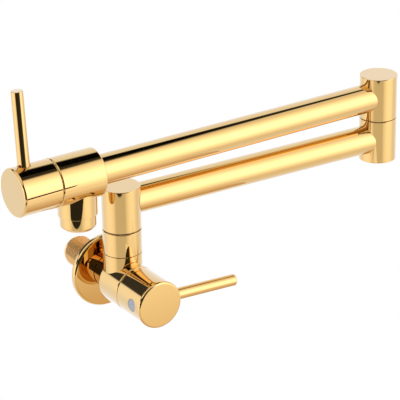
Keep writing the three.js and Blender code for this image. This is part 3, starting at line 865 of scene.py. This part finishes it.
def makeScrew(kind, node, place, body):
    h = hubs[kind]
    piece = latheTurn("screw", [
        (screw["point"], screw["from"], 0.15, 2),
        (screw["point"], screw["shoulder"]),
        (screw["radius"], screw["shoulder"], 0.2, 2),
        (screw["radius"], screw["end"], 0.25, 2),
    ], 48)
    socketFrom = screw["end"] - 2 * screw["socket"]
    cut(piece, barAlong("Z", screw["socket"], socketFrom, screw["end"] + over, sides=6))
    polishShading(piece)
    place = place @ shift(0, 0, h["bottom"] - h["gap"] + hub["screwUp"]) @ turned("X", -90 * h["screwSide"])
    dress(moveMesh(piece, place), node, body, steel, "steel")


makeCollar()
makeHub("shoulder", lowerArm, "lower_arm")
makeHub("elbowLower", lowerArm @ shift(layout["armLength"], 0, 0) @ turned("Z", 180), "lower_arm")
makeHub("elbowUpper", upperArm, "upper_arm")
makeTube("lower_arm_tube", layout["armLength"], (0, layout["armLength"]), lowerArm, "lower_arm")
makeTube("upper_arm_tube", tube["upperEnd"], (0,), upperArm, "upper_arm")
makeScrew("shoulder", "shoulder_retaining_screw", lowerArm, "lower_arm")
makeScrew("elbowUpper", "elbow_retaining_screw", upperArm, "upper_arm")
print("column and arms ready")

# aerator

aerator = {
    "bore": 11.4,
    "thread": 13.1,
    "threadFrom": 24.5,
    "seam": 31.75,
    "radius": 14.7,
    "end": 43.4,
    "chamfer": 2.5,
    "lip": 1,
    "lipHeight": 1.6,
    "insertRim": 11.1,
    "insertBody": 10.2,
    "insertWall": 1.2,
    "insertEnd": 41.55,
    "insertStart": 32.55,
    "plate": 1.5,
    "holes": 8,
    "holeRadius": 1,
    "rimHeight": 1.8,
    "innerRing": 3.4,
    "innerHoles": 6,
    "innerHoleRadius": 0.8,
}


def makeAeratorRing():
    a = aerator
    inner = a["bore"] - a["lip"]
    piece = latheTurn("aeratorRing", [
        (a["bore"], a["threadFrom"]),
        (a["thread"], a["threadFrom"], softEdge, 2),
        (a["thread"], a["seam"]),
        (a["radius"], a["seam"], softEdge, 3),
        (a["radius"], a["end"] - a["chamfer"], 0.9, 4),
        (a["radius"] - a["chamfer"], a["end"], 0.7, 4),
        (inner, a["end"], 0.25, 3),
        (inner, a["end"] - a["lipHeight"]),
        (a["bore"], a["end"] - a["lipHeight"]),
    ], 160, ring=True)
    polishShading(piece)
    dress(moveMesh(piece, outletFrame), "aerator_ring", "upper_arm", gold, "gold")


def makeAeratorInsert():
    a = aerator
    wallIn = a["insertBody"] - a["insertWall"]
    piece = latheTurn("insert", [
        (wallIn, a["insertEnd"] - a["plate"]),
        (wallIn, a["insertStart"], 0.2, 2),
        (a["insertBody"], a["insertStart"], 0.2, 2),
        (a["insertBody"], a["insertEnd"] - a["rimHeight"]),
        (a["insertRim"], a["insertEnd"] - a["rimHeight"]),
        (a["insertRim"], a["insertEnd"], 0.25, 2),
    ], 96)
    holeRings = (
        (wallIn - 2 * a["holeRadius"], a["holes"], a["holeRadius"]),
        (a["innerRing"], a["innerHoles"], a["innerHoleRadius"]),
    )
    for radius, count, size in holeRings:
        for i in range(count):
            angle = 2 * pi * i / count
            spot = (radius * cos(angle), radius * sin(angle), 0)
            cut(piece, barAlong("Z", size, a["insertStart"], a["insertEnd"] + over, spot, 20))
    polishShading(piece)
    dress(moveMesh(piece, outletFrame), "aerator_insert", "upper_arm", greyPlastic, "grey_plastic")


makeAeratorRing()
makeAeratorInsert()
print("aerator ready")

# the inner CAD pieces keep their shapes and get the fine materials

cartridgeNodes = {
    "brass": ["cartridge_body", "stem", "cartridge_nut"],
    "ceramic": ["fixed_disc", "turning_disc"],
    "rubber": ["port_seal", "stem_o_ring"],
    "steel": ["handle_grub_screw"],
}
plainNodes = {
    "ceramic": [],
    "brass": ["shoulder_pivot", "elbow_pivot"],
    "rubber": [
        "flange_o_ring",
        "nipple_seal",
        "shoulder_lower_o_ring",
        "shoulder_upper_o_ring",
        "elbow_lower_o_ring",
        "elbow_upper_o_ring",
        "aerator_washer",
    ],
    "acetal": ["shoulder_slip_washer", "elbow_slip_washer"],
    "steel": ["aerator_mesh"],
}
for slotName, endings in cartridgeNodes.items():
    plainNodes[slotName] += [prefix + "_" + ending for prefix in ("wall", "spout") for ending in endings]
for slotName, nodes in plainNodes.items():
    for node in nodes:
        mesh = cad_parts[node].data
        mesh.materials.clear()
        mesh.materials.append(slotMaterials[slotName])
print("inner pieces ready")

# floor, world and camera

studio = {
    "floorDrop": 1.25,
    "floorSize": 24,
    "floorColour": (1, 1, 1, 1),
    "floorRoughness": 0.9,
    "coolTint": (1.06, 1.14, 1.29, 1),  # light that comes back off the wall's side
    "coolDirection": (0.35, 1, 0),
    "coolFrom": -0.1,
    "coolTo": 0.75,
    "boxTint": (1.0, 1.0, 1.12, 1),
}
# soft boxes: direction, cosine where the glow starts, brightness added at its middle
softBoxes = {
    "rightBox": ((0.519, -0.830, 0.208), 0.55, 1.35),
    "leftBox": ((-0.974, 0.207, 0.087), 0.55, 0.8),
}
# dark places of the studio: level inside, and where each begins and is full along its directions
darkPlaces = {
    "ceilingFrame": (0.045, [
        ((-0.403, 0.0745, 0.912), 0.525, 0.585),
        ((0.403, -0.0745, -0.912), -0.78, -0.70),
    ]),
    "ceilingCorner": (0.045, [((0.4065, 0.1642, 0.8988), 0.968, 0.978)]),
    "frontSide": (0.045, [((-0.4147, -0.91, 0), 0.66, 0.80), ((0, 0, 1), -0.34, -0.27)]),
    "frontFloor": (0.80, [((-0.55, -0.72, -0.423), 0.83, 0.92)]),
}
# cards that only reflections see: place and turn, size, and what they glow with at two places along y
cards = {
    "flagCard": {
        "middle": (-0.055, -0.249, 0.018),
        "turn": (90, 0, -38),
        "size": (0.44, 0.037),
        "glow": ((-0.3, (0.03, 0.03, 0.03)), (-0.1, (0.03, 0.03, 0.03))),
    },
    "lowCard": {
        # low enough to clear the wall lever where it points down
        "middle": (0.065, -0.186, -0.09),
        "turn": (0, 0, 0),
        "size": (0.27, 0.28),
        # towards the wall its glow turns brownish gold: a painted reflection of gold metal in the flange's
        # lower face
        "glow": ((-0.27, (1.25, 1.25, 1.28)), (-0.06, (0.72, 0.50, 0.28))),
    },
}


def makeFloor():
    deselectAll()
    bpy.ops.mesh.primitive_plane_add(size=studio["floorSize"], location=(0, 0, -studio["floorDrop"]))
    floor = bpy.context.object
    floor.name = "floor"
    material = bpy.data.materials.new("paleFloor")
    material.use_nodes = True
    shader = material.node_tree.nodes["Principled BSDF"]
    shader.inputs["Base Color"].default_value = studio["floorColour"]
    shader.inputs["Roughness"].default_value = studio["floorRoughness"]
    shader.inputs["Specular IOR Level"].default_value = 0.0
    floor.data.materials.append(material)
    floor.visible_glossy = False  # reflections see the world's white below the horizon as well


def makeCard(name):
    c = cards[name]
    deselectAll()
    turn = [radians(angle) for angle in c["turn"]]
    bpy.ops.mesh.primitive_plane_add(size=1, location=c["middle"], rotation=turn)
    card = bpy.context.object
    card.name = name
    card.scale = (*c["size"], 1)
    bpy.ops.object.transform_apply(location=True, rotation=True, scale=True)
    material = bpy.data.materials.new(name)
    material.use_nodes = True
    tree = material.node_tree
    tree.nodes.clear()
    place = addNode(tree, "ShaderNodeTexCoord")
    split = addNode(tree, "ShaderNodeSeparateXYZ")
    ramp = addNode(tree, "ShaderNodeMapRange")
    (low, lowColour), (high, highColour) = c["glow"]
    ramp.inputs["From Min"].default_value, ramp.inputs["From Max"].default_value = low, high
    blend = addNode(tree, "ShaderNodeMix", data_type="RGBA")
    blend.inputs["A"].default_value = (*lowColour, 1)
    blend.inputs["B"].default_value = (*highColour, 1)
    glow = addNode(tree, "ShaderNodeEmission")
    out = addNode(tree, "ShaderNodeOutputMaterial")
    tree.links.new(place.outputs["Object"], split.inputs["Vector"])
    tree.links.new(split.outputs["Y"], ramp.inputs["Value"])
    tree.links.new(ramp.outputs["Result"], blend.inputs["Factor"])
    tree.links.new(blend.outputs["Result"], glow.inputs["Color"])
    tree.links.new(glow.outputs["Emission"], out.inputs["Surface"])
    card.data.materials.append(material)
    for ray in ("camera", "diffuse", "transmission", "volume_scatter", "shadow"):
        setattr(card, "visible_" + ray, False)


def makeWorld():
    world = bpy.data.worlds.new("studio")
    bpy.context.scene.world = world
    world.use_nodes = True
    tree = world.node_tree
    tree.nodes.clear()
    link = tree.links.new
    direction = addNode(tree, "ShaderNodeTexCoord")

    def lobe(axis, start, end, kind="SMOOTHSTEP"):
        dot = addNode(tree, "ShaderNodeVectorMath", operation="DOT_PRODUCT")
        dot.inputs[1].default_value = Vector(axis).normalized()
        ramp = addNode(tree, "ShaderNodeMapRange", interpolation_type=kind)
        ramp.inputs["From Min"].default_value = start
        ramp.inputs["From Max"].default_value = end
        link(direction.outputs["Generated"], dot.inputs[0])
        link(dot.outputs["Value"], ramp.inputs["Value"])
        return ramp.outputs["Result"]

    def combine(operation, *values):
        node = addNode(tree, "ShaderNodeMath", operation=operation)
        for socket, value in zip(node.inputs, values):
            if isinstance(value, (int, float)):
                socket.default_value = value
            else:
                link(value, socket)
        return node.outputs["Value"]

    def tint(factor, first, second):
        node = addNode(tree, "ShaderNodeMix", data_type="RGBA")
        link(factor, node.inputs["Factor"])
        node.inputs["B"].default_value = second
        if isinstance(first, tuple):
            node.inputs["A"].default_value = first
        else:
            link(first, node.inputs["A"])
        return node.outputs["Result"]

    cool = lobe(studio["coolDirection"], studio["coolFrom"], studio["coolTo"])
    colour = tint(cool, (1, 1, 1, 1), studio["coolTint"])
    level = None
    for axis, start, added in softBoxes.values():
        glow = lobe(axis, start, 1.0, "LINEAR")
        glow = combine("POWER", glow, 2.0)
        colour = tint(glow, colour, studio["boxTint"])
        level = combine("MULTIPLY_ADD", glow, added, 1.0 if level is None else level)
    for inside, lobes in darkPlaces.values():
        share = lobe(*lobes[0])
        for more in lobes[1:]:
            share = combine("MULTIPLY", share, lobe(*more))
        level = combine("MULTIPLY", level, combine("MULTIPLY_ADD", share, inside - 1, 1.0))
    # only reflections see the soft boxes and the dark places; all else sees plain white
    path = addNode(tree, "ShaderNodeLightPath")
    strength = addNode(tree, "ShaderNodeMix", data_type="FLOAT")
    link(path.outputs["Is Glossy Ray"], strength.inputs["Factor"])
    strength.inputs["A"].default_value = 1
    link(level, strength.inputs["B"])
    shown = addNode(tree, "ShaderNodeMix", data_type="RGBA")
    link(path.outputs["Is Glossy Ray"], shown.inputs["Factor"])
    shown.inputs["A"].default_value = (1, 1, 1, 1)
    link(colour, shown.inputs["B"])
    background = addNode(tree, "ShaderNodeBackground")
    link(shown.outputs["Result"], background.inputs["Color"])
    link(strength.outputs["Result"], background.inputs["Strength"])
    out = addNode(tree, "ShaderNodeOutputWorld")
    link(background.outputs["Background"], out.inputs["Surface"])


photoCamera = {
    "place": (-0.8018, -1.3659, 0.7497),
    "right": (0.8355, -0.5495, 0),
    "up": (0.21973, 0.33409, 0.91658),
    "back": (-0.50365, -0.76579, 0.39987),
    "roll": -0.98,
    "lens": 189.7,
    "sensor": 36,
    "farthest": 100,
}


def makeCamera():
    camera = bpy.data.objects.new("photoCamera", bpy.data.cameras.new("photoCamera"))
    bpy.context.scene.collection.objects.link(camera)
    right, up, back = (Vector(photoCamera[key]).normalized() for key in ("right", "up", "back"))
    roll = radians(photoCamera["roll"])
    across = right * cos(roll) + up * sin(roll)
    upright = up * cos(roll) - right * sin(roll)
    turn = Matrix((across, upright, back)).transposed().to_4x4()
    camera.matrix_world = Matrix.Translation(photoCamera["place"]) @ turn
    camera.data.lens = photoCamera["lens"]
    camera.data.sensor_width = photoCamera["sensor"]
    camera.data.clip_end = photoCamera["farthest"]
    bpy.context.scene.camera = camera


makeFloor()
for name in cards:
    makeCard(name)
makeWorld()
makeCamera()
bpy.context.scene.view_settings.view_transform = "Standard"
print("studio ready")
